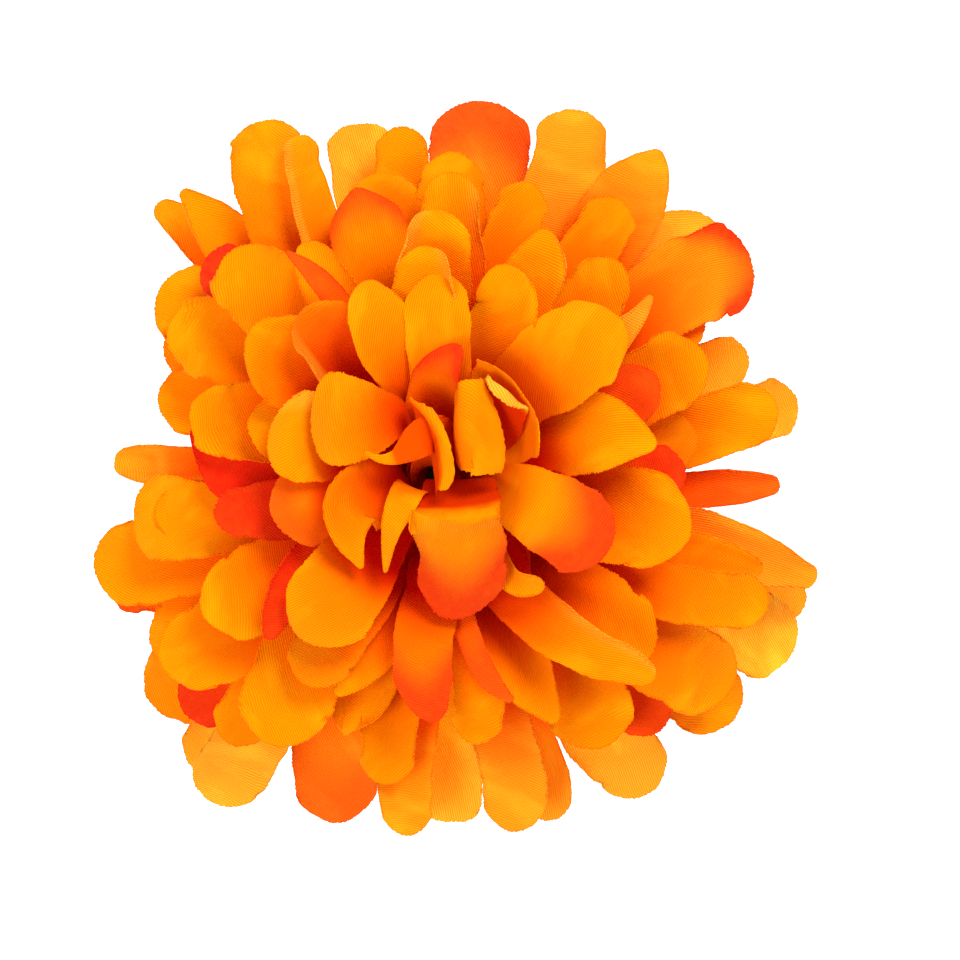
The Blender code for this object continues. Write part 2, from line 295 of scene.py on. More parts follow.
BLADE_143 = [
    (396, 440, 25, 7, 235, 0, 0.8), (345, 405, 31, 11, 234, 0, 1.6), (290, 362, 36, 12.5, 236, 0, 2),
    (262, 342, 38.4, 11.5, 245, 0, 1.8), (247, 334, 38.6, 10, 249, 0, 0.8),
]
BLADE_266 = [
    (437, 545, 24, 6, 358, 0, 0.5), (432, 600, 30, 8, 355, 0, 0), (422, 652, 34, 8.2, 0, 5, -0.6),
    (426, 690, 34.5, 7.4, 10, 8, -1), (437, 722, 33.6, 2.5, 15, 5, -0.6),
]
BLADE_287 = [
    (452, 560, 25, 5, 15, 0, 0.5), (461, 612, 30.5, 3.6, 20, 10, 0.4), (474, 650, 33, 3.6, 28, 20, 0.2),
    (490, 680, 33.6, 3.2, 36, 20, 0), (513, 702, 33, 0.8, 42, 10, 0),
]
BLADE_317 = [
    (470, 545, 24, 6, 50, 0, 0.5), (530, 610, 31, 7.8, 48, 5, 0.5), (580, 645, 35.5, 7.2, 55, 10, 0.4),
    (622, 663, 36, 6, 62, 14, 0), (655, 679, 34.8, 2.4, 62, 10, -0.4),
]
BLADE_36 = [
    (480, 440, 32, 8, 118, 0, 1.5), (502, 422, 38, 12, 118, 0, 2.2), (514, 408, 42, 15, 119, 0, 2.6),
    (518, 400, 45, 16.6, 120, 0, 2.8),
]
BLADE_20 = [
    (478, 436, 32, 7, 120, 0, 1.0), (491, 420, 38, 9, 128, 0, 1.0), (502, 403, 42.4, 8, 137, 0, 0.6),
    (507, 392, 44.6, 7.4, 140, 0, 0.2), (500, 401, 45.3, 6.0, 142, 0, 0),
]
BLADE_86 = [
    (432, 430, 32, 6, 176, 0, 1), (431, 400, 38, 6.8, 172, 0, 1.2), (440, 370, 42, 6, 160, 0, 1),
    (461, 345, 43.5, 1.6, 140, 0, 0.3),
]
BLADE_240 = [
    (418, 492, 33, 5, 330, 10, 0.5), (411, 487, 40, 4.6, 338, 20, 0.5),
    (403, 499, 43.5, 4.6, 350, 20, -0.6), (391, 530, 43, 2.8, 5, 20, -0.4), (385, 573, 40, 0.4, 8, 20, 0),
]
BLADE_55 = [
    (464, 438, 34, 7, 90, 0, 0.3), (457, 429, 40, 8, 90, 0, 0), (458, 428, 44, 11.6, 90, 0, -0.6),
    (475, 425, 45.2, 13.2, 92, 0, -0.6), (509, 432, 42.2, 11.6, 98, 0, -0.6),
]
BLADE_106 = [
    (438, 472, 33, 7, 120, 0, 0.3), (430, 459, 38, 10, 106, 0, 0.8), (431, 444, 42.4, 13, 103, 0, 1.2),
    (437, 438, 44.8, 13.8, 114, 0, 1.6), (446, 434, 45.4, 13.6, 115, 0, 1.8),
]
BLADE_162 = [
    (430, 462, 34, 5, 180, 0, 0.3), (440, 436, 40, 5, 235, 0, 0.5), (424, 437, 43.2, 5.2, 285, 0, 0.6),
    (410, 447, 44, 3.9, 300, 0, 0.6), (396, 457, 44, 2, 295, 0, 0.3), (380, 459, 43.6, 1.0, 272, 0, 0),
    (364, 452, 43, 0.3, 262, 0, 0),
]

ROUND_1 = Round(root_slope=20, end_slope=-32, length=48, stagger=1.4, grain=20, petals=[
    Petal(10.5, 13, pale=0.65, path=[(640, 450, 60), (710, 425, 64), (765, 411, 58), (799, 401, 38)]),
    Petal(22, 13, pale=0.6, path=[(650, 390, 50), (700, 372, 56), (730, 361, 52), (750, 355, 36)]),
    Petal(40, 13, reach=50, pale=0.6),
    Petal(65, reach=47),
    Petal(84, 16, red=0.75, red_from=0.7, pale=0.3,
          path=[(467, 260, 80), (475, 190, 98), (479, 143, 100), (478, 98, 70)]),
    Petal(102.5, 12.5, pale=0.8, rounding=0.7,
          path=[(385, 260, 60), (372, 200, 74), (362, 158, 68), (357, 122, 50)]),
    Petal(119, 11, reach=54, red=0.6, red_from=0.85),
    Petal(137, 11, path=[(250, 290, 50), (205, 245, 44), (175, 218, 34), (155, 205, 16)]),
    Petal(157, path=[(250, 352, 60), (215, 350, 62), (190, 349, 58), (162, 346, 34)]),
    Petal(176, 7, pale=0.3, left=50, right=30,
          path=[(230, 466, 32), (190, 465, 38), (145, 464, 40), (113, 460, 20)]),
    Petal(198, 14, red=0.6, red_from=0.85,
          path=[(230, 558, 70), (170, 568, 80), (135, 571, 80), (102, 571, 46)]),
    Petal(215, 14, path=[(260, 620, 60), (205, 658, 84), (178, 684, 86), (149, 703, 58)]),
    Petal(230, 13, pale=0.7, path=[(280, 660, 50), (235, 710, 60), (212, 744, 58), (193, 771, 38)]),
    Petal(252, 15.5, red=0.55, red_from=0.68, pale=0.3,
          path=[(370, 660, 66), (340, 720, 92), (334, 768, 84), (341, 824, 30)]),
    Petal(271, 10, pale=1.0, tone=0.35, rounding=0.6,
          path=[(445, 680, 50), (447, 740, 60), (450, 784, 62), (445, 824, 40)]),
    Petal(290, 10, pale=0.5, path=[(500, 680, 50), (530, 740, 52), (545, 782, 50), (552, 822, 30)]),
    Petal(303, 13, red=0.1, red_from=0.8, pale=1.0, tone=0.2,
          path=[(560, 680, 60), (602, 733, 80), (628, 761, 74), (651, 794, 52)]),
    Petal(321, 13, reach=48),
    Petal(336.5, pale=0.9, path=[(640, 580, 60), (710, 610, 76), (752, 631, 84), (799, 642, 60)]),
    Petal(346, 9, pale=0.6, path=[(660, 560, 50), (730, 585, 50), (775, 598, 46), (808, 600, 26)]),
])
ROUND_2 = Round(root_slope=31, end_slope=-30, length=49, stagger=1.4, grain=75, petals=[
    Petal(14, path=[(620, 452, 60), (680, 438, 66), (730, 421, 66), (777, 401, 36)]),
    Petal(38, 16.5, pale=0.6, path=[(600, 340, 70), (650, 290, 94), (684, 252, 90), (708, 214, 52)]),
    Petal(56, 13, pale=0.2,
          path=[(560, 300, 70), (604, 238, 80), (632, 194, 74), (651, 166, 40), (659, 149, 5)]),
    Petal(68.5, pale=0.35, tone=0.1, right=50,
          path=[(530, 280, 70), (561, 200, 86), (571, 150, 75), (577, 108, 46)]),
    Petal(95, path=[(440, 300, 60), (440, 240, 60), (438, 200, 50), (436, 170, 30)]),
    Petal(105, 11, path=[(412, 260, 60), (405, 200, 62), (402, 158, 52), (402, 125, 34)]),
    Petal(119, 12, path=[(320, 290, 60), (288, 225, 80), (269, 168, 74), (266, 117, 44)]),
    Petal(132.5, 12, path=[(290, 310, 70), (250, 262, 68), (215, 225, 50), (181, 190, 8)]),
    Petal(150, path=[(270, 354, 70), (215, 324, 80), (184, 302, 82), (158, 285, 58)]),
    Petal(166, path=[(250, 410, 60), (205, 405, 66), (179, 399, 70), (156, 397, 48)]),
    Petal(195.5, 14, tone=0.05, path=[(230, 548, 70), (170, 558, 84), (130, 564, 84), (92, 567, 54)]),
    Petal(208, path=[(250, 590, 60), (200, 620, 76), (177, 639, 76), (152, 653, 50)]),
    Petal(222, 12, lift=-0.5, red=0.9,
          path=[(290, 640, 60), (240, 672, 70), (210, 693, 66), (180, 710, 42)]),
    Petal(235, 14, pale=0.95, path=[(310, 650, 60), (268, 715, 68), (238, 760, 74), (204, 800, 58)]),
    Petal(265, 11, pale=0.15, path=[(420, 680, 50), (405, 740, 60), (405, 790, 54), (408, 837, 26)]),
    Petal(283.5, 11.5, pale=0.3, path=[(480, 660, 50), (498, 720, 64), (512, 772, 66), (519, 833, 40)]),
    Petal(309, 12, red=0.8, path=[(560, 620, 60), (605, 670, 62), (638, 702, 62), (661, 732, 40)]),
    Petal(319, 14, path=[(590, 600, 60), (655, 662, 74), (698, 692, 78), (735, 722, 46)]),
    Petal(343, 13, pale=0.45, path=[(620, 530, 60), (700, 540, 62), (760, 560, 52), (817, 580, 20)]),
    Petal(359, 7, red=0.6, red_from=0.5, pale=0.2,
          path=[(650, 490, 32), (700, 489, 38), (745, 487, 32), (781, 484, 16)]),
])
ROUND_3 = Round(root_slope=41, end_slope=-26, length=46, stagger=1.25, grain=130, petals=[
    Petal(9, red=0.2, path=[(580, 470, 50), (640, 452, 64), (675, 441, 60), (699, 437, 36)]),
    Petal(23, 14, path=[(590, 380, 60), (640, 345, 72), (675, 320, 68), (703, 303, 42)]),
    Petal(37, red=0.9, red_from=0.88, pale=0.15, rounding=0.75,
          path=[(600, 350, 60), (655, 302, 86), (704, 275, 94), (755, 266, 66)]),
    Petal(55, path=[(555, 320, 60), (585, 262, 62), (605, 225, 56), (620, 198, 28)]),
    Petal(70, 12, path=[(490, 310, 56), (507, 250, 58), (520, 212, 52), (532, 182, 30)]),
    Petal(87, path=[(455, 280, 70), (450, 215, 72), (452, 180, 62), (455, 151, 36)]),
    Petal(103, path=[(410, 280, 70), (390, 225, 80), (378, 190, 72), (373, 172, 44)]),
    Petal(113.5, 9.5, left=70, path=[(343, 290, 50), (319, 225, 46), (304, 172, 38), (299, 134, 24)]),
    Petal(140, 12, lift=-2, red=0.95, red_from=0.74,
          path=[(300, 350, 60), (262, 302, 56), (228, 275, 56), (203, 259, 40)]),
    Petal(154, path=[(290, 370, 80), (235, 346, 86), (195, 335, 84), (165, 333, 58)]),
    Petal(178, 14, lift=-2.5, rounding=0.7,
          path=[(270, 518, 60), (220, 519, 72), (175, 518, 86), (131, 514, 62)]),
    Petal(190, 13, lift=2, path=[(320, 500, 60), (260, 508, 70), (205, 512, 68), (154, 513, 44)]),
    Petal(211, 14, path=[(300, 590, 60), (240, 630, 84), (200, 648, 84), (158, 660, 54)]),
    Petal(231, path=[(310, 620, 60), (270, 680, 62), (245, 715, 58), (227, 744, 36)]),
    Petal(250, 9, reach=38),
    Petal(264, 11, path=[(400, 640, 50), (392, 700, 60), (388, 745, 56), (384, 786, 36)]),
    Petal(282, 11, path=[(470, 620, 50), (480, 680, 56), (478, 715, 50), (472, 745, 30)]),
    Petal(303, 14, path=[(540, 620, 60), (575, 680, 86), (593, 716, 88), (604, 749, 54)]),
    Petal(326, 14, lift=-1.1, path=[(570, 590, 60), (640, 640, 84), (690, 668, 86), (734, 690, 48)]),
    Petal(341, path=[(590, 530, 50), (660, 548, 50), (715, 558, 42), (763, 570, 16)]),
])
ROUND_4 = Round(root_slope=50, end_slope=-21, length=43, stagger=1.15, grain=10, petals=[
    Petal(2, 13, lift=-2, red=0.9, path=[(570, 490, 50), (620, 482, 60), (660, 474, 58), (687, 470, 34)]),
    Petal(24, path=[(590, 420, 60), (640, 390, 76), (675, 370, 78), (707, 354, 48)]),
    Petal(48, path=[(545, 360, 60), (580, 315, 64), (602, 285, 62), (620, 261, 36)]),
    Petal(70, 13, pale=0.4, path=[(500, 340, 60), (525, 300, 64), (540, 262, 56), (546, 228, 10)]),
    Petal(88, right=30, path=[(450, 290, 70), (450, 235, 66), (452, 195, 56), (456, 171, 38)]),
    Petal(106, 12.5, red=0.75, red_from=0.8,
          path=[(392, 310, 66), (375, 255, 84), (365, 222, 76), (360, 203, 46), (356, 187, 4)]),
    Petal(124, 12, lift=-1, path=[(350, 330, 60), (330, 290, 54), (314, 262, 44), (300, 244, 16)]),
    Petal(138, 14, path=[(330, 350, 80), (285, 310, 90), (250, 276, 82), (230, 249, 48)]),
    Petal(163, 14, path=[(320, 424, 80), (270, 422, 86), (225, 419, 76), (190, 406, 40)]),
    Petal(187, red=0.95, red_from=0.3,
          path=[(300, 500, 60), (262, 487, 68), (224, 466, 54), (192, 428, 8)]),
    Petal(209, 14, path=[(330, 545, 70), (280, 575, 86), (240, 597, 86), (201, 613, 54)]),
    Petal(239, 15, path=[(340, 600, 70), (305, 660, 92), (285, 705, 92), (272, 747, 56)]),
    Petal(264, path=[(410, 590, 40), (385, 640, 42), (360, 672, 32), (335, 695, 8)]),
    Petal(293, 14, path=[(480, 580, 50), (510, 640, 62), (532, 685, 52), (557, 723, 10)]),
    Petal(318, 14, path=[(490, 540, 60), (560, 590, 86), (610, 625, 86), (652, 656, 52)]),
    Petal(338, 14, lift=0.9, path=[(560, 560, 60), (640, 585, 62), (710, 598, 58), (770, 603, 32)]),
])
ROUND_5 = Round(root_slope=58, end_slope=-15, length=40, stagger=1, grain=60, petals=[
    Petal(26, 13, lift=-0.6, red=0.8,
          path=[(560, 430, 50), (610, 405, 62), (640, 388, 58), (659, 377, 36)]),
    Petal(45, 11, pale=0.5, path=[(540, 388, 60), (590, 354, 50), (630, 325, 24), (652, 295, 5)]),
    Petal(67, 14, path=[(490, 345, 60), (518, 302, 68), (538, 264, 58), (546, 228, 12)]),
    Petal(89, left=70, stations=BLADE_89),
    Petal(124, 11, red=0.7, stations=BLADE_124),
    Petal(143, 14, tone=-0.08, stations=BLADE_143),
    Petal(163, path=[(330, 430, 60), (295, 428, 68), (270, 426, 66), (247, 424, 42)]),
    Petal(194, red=0.9, red_from=0.4,
          path=[(330, 505, 60), (280, 510, 62), (240, 512, 50), (213, 515, 30)]),
    Petal(219, 8, red=0.9, red_from=0.3,
          path=[(330, 540, 40), (302, 568, 42), (282, 602, 38), (268, 640, 12)]),
    Petal(239, red=0.2, path=[(370, 590, 60), (335, 635, 68), (318, 660, 66), (304, 686, 44)]),
    Petal(266, red=0.85, red_from=0.66, stations=BLADE_266),
    Petal(287, red=0.7, red_from=0.5, stations=BLADE_287),
    Petal(317, 15, left=45, stations=BLADE_317),
    Petal(347, 15, lift=0.4, tone=-0.08,
          path=[(500, 490, 60), (580, 505, 92), (640, 520, 100), (692, 533, 64)]),
])
ROUND_6 = Round(root_slope=65, end_slope=-8, length=36, stagger=0.85, grain=115, petals=[
    Petal(8, 14, tone=0.1, path=[(500, 450, 60), (560, 437, 84), (610, 434, 74), (657, 446, 10)]),
    Petal(40, 11, reach=24),
    Petal(72, 14, stations=BLADE_72),
    Petal(94, right=60, stations=BLADE_94),
    Petal(127, red=0.25, tone=-0.2, left=80, stations=BLADE_127),
    Petal(163, 14, right=40, rounding=0.5, stations=BLADE_163),
    Petal(193, 14, red=0.6, red_from=0.7, stations=BLADE_193),
    Petal(229, 15, tone=-0.05, stations=BLADE_229),
    Petal(262, 6, reach=9, lift=-2, tone=-0.5),
    Petal(290, 8, reach=12, lift=-1, tone=-0.5),
    Petal(320, 9, reach=17, lift=-2, tone=-0.5),
    Petal(345, 10, reach=22, lift=-1, tone=-0.4),
])
ROUND_7 = Round(root_slope=71, end_slope=0, length=36, stagger=0.7, grain=165, petals=[
    Petal(38, 15, stations=BLADE_38),
    Petal(87, slant=0.4, rounding=0.8, stations=BLADE_87),
    Petal(110, 12, slant=0.2, stations=BLADE_110),
    Petal(157, 14, tone=-0.07, rounding=0.35, stations=BLADE_157),
    Petal(213, stations=BLADE_213),
    Petal(274, red=0.85, red_from=0.7, slant=1.1, bow=0.9, rounding=0.65, dark=0.54, shade=0.12,
          stations=BLADE_274),
    Petal(316, 9, stations=BLADE_316),
    Petal(344, 15, lift=0.6, red=0.85, red_from=0.66, tone=0.2, slant=0.3, rounding=0.6,
          stations=BLADE_344),
])
ROUND_8 = Round(root_slope=76, end_slope=28, length=22, stagger=0.3, grain=40, petals=[
    Petal(36, 13, tone=0.25, rounding=0.12, dark=0.94, stations=BLADE_36),
    Petal(86, 9, red=0.9, red_from=0.7, stations=BLADE_86),
    Petal(240, 8, tone=0.2, stations=BLADE_240),
    Petal(318, 6, reach=6, lift=-1),
    Petal(20, 13, pale=1.0, rounding=0.3, dark=0.9, stations=BLADE_20),
])
ROUND_9 = Round(root_slope=81, end_slope=50, length=18, stagger=0, grain=95, petals=[
    Petal(55, 9, slant=1.45, rounding=0.08, stations=BLADE_55),
    Petal(106, 7, tone=0.08, rounding=0.3, dark=0.88, stations=BLADE_106),
    Petal(162, 8, tone=0.08, rounding=0.5, dark=0.86, stations=BLADE_162),
])
ROUNDS = (ROUND_1, ROUND_2, ROUND_3, ROUND_4, ROUND_5, ROUND_6, ROUND_7, ROUND_8, ROUND_9)


def ramp(value, start, end):
    """Rises smoothly from 0 at start to 1 at end."""
    share = min(max((value - start) / (end - start), 0.0), 1.0)
    return share * share * (3 - 2 * share)


def lean_at(height):
    """How far the bloom has leaned from its axis at this height."""
    return LEAN * ramp(height, *LEAN_GROWS)


class Surface:
    """The middle surface of a round: an arc from the hub out, turned about the axis."""

    def __init__(self, layer, index):
        self.index = index
        self.radius = FIRST_ROOT_RADIUS - ROOT_RADIUS_STEP * index
        self.height = FIRST_HUB_HEIGHT + HUB_PITCH * index
        self.slope = radians(layer.root_slope)
        self.bend = (radians(layer.end_slope) - self.slope) / (layer.length * MM)
        self.tip_lean = lean_at(self.at(layer.length * MM)[1])

    def at(self, length):
        """Radius, height and slope of the surface, this far along a petal from its root."""
        slope = self.slope + self.bend * length
        radius = self.radius + (sin(slope) - sin(self.slope)) / self.bend
        height = self.height - (cos(slope) - cos(self.slope)) / self.bend
        return radius, height, slope

    def length_to(self, reach):
        """The length along the surface at which it has come this far from the axis."""
        sine = sin(self.slope) + self.bend * (reach - self.radius)
        return (asin(max(-1.0, min(1.0, sine))) - self.slope) / self.bend

    def height_under(self, spot):
        """The height of the surface where this spot is in plan."""
        return self.at(self.length_to((spot.xy - lean_at(spot.z)).length))[1]


def pixel_size(height):
    """The size of a pixel of the photograph at this height."""
    return VIEW_WIDTH / PHOTO_SIZE * (VIEW_MIDDLE.z + CAMERA_DISTANCE - height) / CAMERA_DISTANCE


def photo_spot(x, y, height):
    """The point at this height that the photograph shows at this pixel."""
    size = pixel_size(height)
    return Vector((
        VIEW_MIDDLE.x + (x - PHOTO_SIZE / 2) * size,
        VIEW_MIDDLE.y - (y - PHOTO_SIZE / 2) * size,
        height,
    ))


def place_of(point):
    return Vector(point[:3])


def on_curve(points, place):
    """A smooth curve through the points of a path, at this place counted in points."""
    last = len(points) - 1
    step = min(max(int(place), 0), last - 1)
    share = place - step
    before = points[max(step - 1, 0)]
    after = points[min(step + 2, last)]
    found = []
    for zero, one, two, three in zip(before, points[step], points[step + 1], after):
        curve = 2 * zero - 5 * one + 4 * two - three
        bend = 3 * one - zero - 3 * two + three
        found.append(one + share * ((two - zero) + share * (curve + share * bend)) / 2)
    return Point(*found)


def unwound(points):
    """The same points, each side's direction within half a turn of the one before it."""
    found = points[:1]
    for point in points[1:]:
        turns = round((found[-1].side - point.side) / (2 * pi))
        found.append(point._replace(side=point.side + 2 * pi * turns))
    return found


def with_round_end(spots):
    """The spots with one more near the end of a blunt petal, so that its sides close in a curve."""
    former, last = spots[-2:]
    if last[2] < BLUNT_FROM:
        return spots
    end_width = BLUNT_END_OF_FORMER * former[2] + BLUNT_END_OF_LAST * last[2]
    x, y, _ = (before + SHOULDER_PLACE * (after - before) for before, after in zip(former, last))
    shoulder = (x, y, former[2] - SHOULDER_NARROWING * (former[2] - end_width))
    return spots[:-1] + [shoulder, (last[0], last[1], end_width)]


class Blade:
    """The form of one petal. Its place_at gives the spot of the cloth that lies at this share along and
    across, with its place along and across the flat cloth."""

    def __init__(self, surface, layer, number, draw, free):
        self.petal = layer.petals[number]
        self.surface = surface
        self.crowd = len(layer.petals)
        self.turn = radians(self.petal.azimuth)
        self.width = self.petal.width * MM
        root_room = 2 * pi * surface.radius / self.crowd
        self.claw = min(CLAW_ROOM_SHARE * root_room, CLAW_WIDTH_SHARE * self.width)
        self.level = (layer.stagger if number % 2 == 0 else -layer.stagger) * MM
        self.lift = (self.petal.lift + draw.uniform(-UNEVEN_LIFT, UNEVEN_LIFT)) * MM
        self.roll = radians(draw.uniform(-UNEVEN_ROLL, UNEVEN_ROLL))
        self.cup = (MEAN_CUP + draw.uniform(-UNEVEN_CUP, UNEVEN_CUP)) * MM
        # The free form of its cloth. The draws keep this order, or every petal would change.
        self.narrowing = free.uniform(*END_NARROWING)
        self.wave = free.uniform(*WAVE_SHARE) * WAVE
        self.phase = free.uniform(0, 2 * pi)
        self.other_phase = free.uniform(0, 2 * pi)
        self.wave_count = free.uniform(*WAVE_COUNT)
        self.crease = free.uniform(-1, 1) * CREASE
        self.crease_count = free.uniform(*CREASE_COUNT)
        self.curl = free.uniform(-1, 1) * CURL
        self.twist = tan(radians(free.uniform(-1, 1) * TWIST))
        self.spoon = free.uniform(*SPOON)
        self.slant = free.uniform(-1, 1) * SLANT
        self.bow = free.uniform(-1, 1) * BOW
        self.point = free.uniform(*POINT)
        # Its painted light: as given, more for pale cloth, and a little random tone.
        self.tone = self.petal.tone + PALE_TONE * self.petal.pale + free.uniform(-1, 1) * TONE
        self.dents = Vector([free.uniform(0, DENT_PLACES) for _ in range(3)])
        self.length = self.measured()

    def loose(self, along, across):
        """How far the cloth stands off its smooth shape, in waves along the edges and soft creases."""
        phase = self.phase if across > 0 else self.other_phase
        rise = self.wave * across ** 2 * sin(2 * pi * self.wave_count * along + phase)
        rise *= 1 - WAVE_CALMED * ramp(along, *WAVE_CALMS)
        spot = Vector((along * self.length, across * self.width / 2, 0)) / DENT_SIZE
        rise += DENT * noise.noise(spot * COARSE_DENTS + self.dents)
        rise += DENT * FINE_DENT_SHARE * noise.noise(spot * FINE_DENTS + self.dents)
        rise += self.crease * cos(2 * pi * self.crease_count * across + self.phase)
        return rise * ramp(along, *LOOSENS)


class HiddenBlade(Blade):
    """A petal that hardly shows. It lies in its round's middle surface, as in the solids."""

    def measured(self):
        outwards = Vector((cos(self.turn), sin(self.turn)))
        tip = self.petal.reach * MM * outwards - self.surface.tip_lean
        self.azimuth = atan2(tip.y, tip.x)
        return self.surface.length_to(tip.length)

    def place_at(self, along, across, tooth):
        end = max(0.0, (along - END_FROM) / (1 - END_FROM))
        spread = ramp(along, 0, FULL_WIDTH_FROM)
        width = self.claw + (self.width - self.claw) * spread
        width *= sqrt(1 - (self.narrowing * end) ** 2)
        distance = (self.length + SUNK_IN_HUB) * along - SUNK_IN_HUB
        corner = abs(across * end)
        distance -= self.width * (END_ROUNDING * corner ** 2 + CORNER_ROUNDING * corner ** CORNER_POWER)
        distance -= self.point * corner + self.slant * across * end
        if along > NEARLY_ALL:
            distance -= tooth
        radius, height, slope = self.surface.at(distance)
        room = 2 * pi * radius / self.crowd
        width = min(width, room * (SIDE_ROOM_AT_ROOT + ramp(along, *SIDE_ROOM_GROWS)))
        half = across * width / 2
        if abs(across) > NEARLY_ALL:
            half -= copysign(tooth, across)
        rise = self.level * ramp(along, 0, STAGGER_GROWS_TO) + self.lift * along ** 2
        rise += tan(self.roll) * half
        rise += self.cup * (across ** 2 - CUP_MIDDLE) * spread
        rise += self.loose(along, across)
        rise += self.curl * ramp(along, *CURL_GROWS)
        rise += self.twist * half * ramp(along, *TWIST_GROWS)
        rise += self.spoon * (across ** 2 - CUP_MIDDLE) * ramp(along, *SPOON_GROWS)
        bowed = self.bow * sin(pi * min(max(along, 0.0), 1.0))
        angle = self.azimuth + (half + bowed) / radius
        radius -= rise * sin(slope)
        height += rise * cos(slope)
        lean = lean_at(height)
        spot = Vector((radius * cos(angle) + lean.x, radius * sin(angle) + lean.y, height))
        return spot, distance, across * width / 2


class SeenBlade(Blade):
    """A petal that follows a path of its own, as the photograph shows it."""

    def measured(self):
        seen = self.station_points() if self.petal.stations else self.path_points()
        self.points = unwound(self.root_points() + seen)
        self.lengths = [0.0]
        for first, second in zip(self.points, self.points[1:]):
            step = (place_of(second) - place_of(first)).length
            self.lengths.append(self.lengths[-1] + step)
        return self.lengths[-1]

    def root_points(self):
        """Two points at the root: in the hub and just above it."""
        outwards = Vector((cos(self.turn), sin(self.turn), 0))
        radius = self.surface.radius
        points = []
        for distance, rise in ((radius - SUNK_IN_HUB, 0), (radius, ROOT_RISE)):
            spot = outwards * distance + Vector((0, 0, self.surface.height + rise))
            points.append(Point(*spot, self.claw, self.turn + pi / 2, 0, 0))
        return points

    def station_points(self):
        """The points of a petal whose heights, turns and tilts are all given."""
        points = []
        for x, y, height, width, side, tilt, cup in self.petal.stations:
            spot = photo_spot(x, y, height * MM)
            points.append(Point(*spot, width * MM, radians(side), radians(tilt), cup * MM))
        return points

    def path_points(self):
        """The points of a petal that keeps near its round's middle surface, with one on the way there."""
        spots = with_round_end(self.petal.path)
        cup = self.cup + self.spoon
        root = place_of(self.root_points()[-1])
        before = root
        points = []
        for number, (x, y, width) in enumerate(spots):
            share = (number + 1) / len(spots)
            rise = self.level + self.lift * share ** 2
            height = FIRST_GUESS_HEIGHT
            for _ in range(HEIGHT_STEPS):
                height = self.surface.height_under(photo_spot(x, y, height)) + rise
            spot = photo_spot(x, y, height)
            side = atan2(spot.y - before.y, spot.x - before.x) + pi / 2
            points.append(Point(*spot, width * pixel_size(height), side, self.roll * share, cup))
            before = spot
        first = points[0]
        middle = (root + place_of(first)) / 2
        middle.z = self.surface.height_under(middle) + self.level / 2
        return [Point(*middle, (self.claw + first.width) / 2, first.side, 0, cup / 2)] + points

    def point_at(self, distance):
        """The point of the path at this distance from its start."""
        distance = min(max(distance, 0.0), self.length)
        step = 0
        while step < len(self.lengths) - 2 and self.lengths[step + 1] < distance:
            step += 1
        start, end = self.lengths[step:step + 2]
        return on_curve(self.points, step + (distance - start) / (end - start))

    def place_at(self, along, across, tooth):
        petal = self.petal
        corner = abs(across) * ramp(along, *END_BENDS)
        end_depth = petal.rounding * END_DEPTH * self.points[-1].width
        distance = self.length * along - end_depth * (1 - sqrt(max(0.0, 1 - corner ** 2)))
        distance -= petal.slant * MM * (1 + across) ** SLANT_POWER * ramp(along, *SLANT_GROWS)
        distance -= petal.bow * MM * across ** 2 * ramp(along, *BOW_GROWS)
        if along > NEARLY_ALL:
            distance -= tooth
        now = self.point_at(distance)
        before = place_of(self.point_at(distance - STEP_BESIDE))
        after = place_of(self.point_at(distance + STEP_BESIDE))
        ahead = (after - before).normalized()
        side = Vector((cos(now.side), sin(now.side), tan(now.tilt)))
        side = (side - ahead * side.dot(ahead)).normalized()
        turn = radians(petal.left if across > 0 else petal.right) * ramp(along, *EDGES_TURN)
        share, edge_rise = turned_edge(abs(across), turn)
        wave_spot = Vector((along * self.length / DENT_SIZE * EDGE_WAVES, across, EDGE_WAVE_LAYER))
        half = copysign(share, across) * now.width / 2
        half *= 1 + EDGE_WAVE * abs(across) * noise.noise(wave_spot + self.dents)
        if abs(across) > NEARLY_ALL:
            half -= copysign(tooth, across)
        narrow = min(1.0, now.width / self.width)
        rise = now.cup * (share ** 2 - CUP_MIDDLE) * narrow ** NARROW_CUP_POWER
        rise += PATH_LOOSENESS * narrow * self.loose(along, across)
        rise += edge_rise * now.width / 2
        return place_of(now) + side * half + ahead.cross(side) * rise, distance, half


def turned_edge(share, turn):
    """Where a point this far across lies, and how high, when the cloth's edge is rolled up by this angle."""
    if share <= TURNED_FROM or abs(turn) < BARELY_TURNED:
        return share, 0.0
    span = 1 - TURNED_FROM
    angle = turn * (share - TURNED_FROM) / span
    return TURNED_FROM + span * sin(angle) / turn, span * (1 - cos(angle)) / turn


def eased(share):
    """Where a row of the grid lies along the petal, so that rows lie closer towards the end."""
    return 1 - (1 - share) ** END_CLOSER


def cut_edges(shape, length, width):
    """Divides the cut edges of a petal's grid as finely as its teeth."""
    finer = {}
    for edge in shape.edges:
        if not edge.is_boundary:
            continue
        first, last = sorted(vertex.co.x + HALF_GRID for vertex in edge.verts)
        if (first + last) / 2 < TEETH_FROM:
            continue
        size = (eased(last) - eased(first)) * length if last > first + TINY else width / COLUMNS
        finer.setdefault(max(1, round(size / TOOTH_STEP) - 1), []).append(edge)
    for cuts in sorted(finer):
        bmesh.ops.subdivide_edges(shape, edges=finer[cuts], cuts=cuts)
    bmesh.ops.triangulate(shape, faces=[face for face in shape.faces if len(face.verts) > 4])


